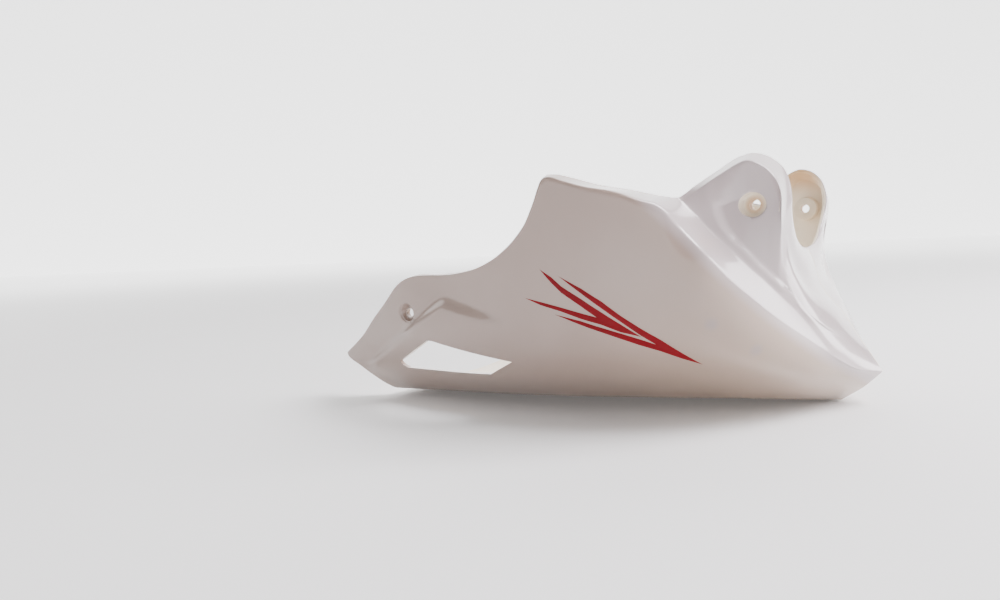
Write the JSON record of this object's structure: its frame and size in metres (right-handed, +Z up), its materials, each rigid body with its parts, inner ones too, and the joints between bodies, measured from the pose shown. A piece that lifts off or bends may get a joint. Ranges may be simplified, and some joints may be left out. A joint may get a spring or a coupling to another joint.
{
  "type": "motorcycle belly pan",
  "caption": "Boat-shaped motorcycle belly pan of two moulded halves, with raised front ears, bolt recesses and side vents, open at the top and rear.",
  "frame": {"origin": "on the centre plane, at mid length and at the height of the flat keel", "axes": "+X forward to the nose, +Y to the left side of the bike, +Z up"},
  "size_m": [0.3746, 0.3314, 0.1691],
  "materials": {
    "painted_shell": "gloss white paint outside, bare ivory plastic inside",
    "stripe_red": "dark red paint under the same gloss",
    "zinc_steel": "zinc plated"
  },
  "bodies": {
    "root": {"left_half": "painted_shell", "right_half": "painted_shell", "join_screws": "zinc_steel", "join_nuts": "zinc_steel"}
  },
  "joints": []
}
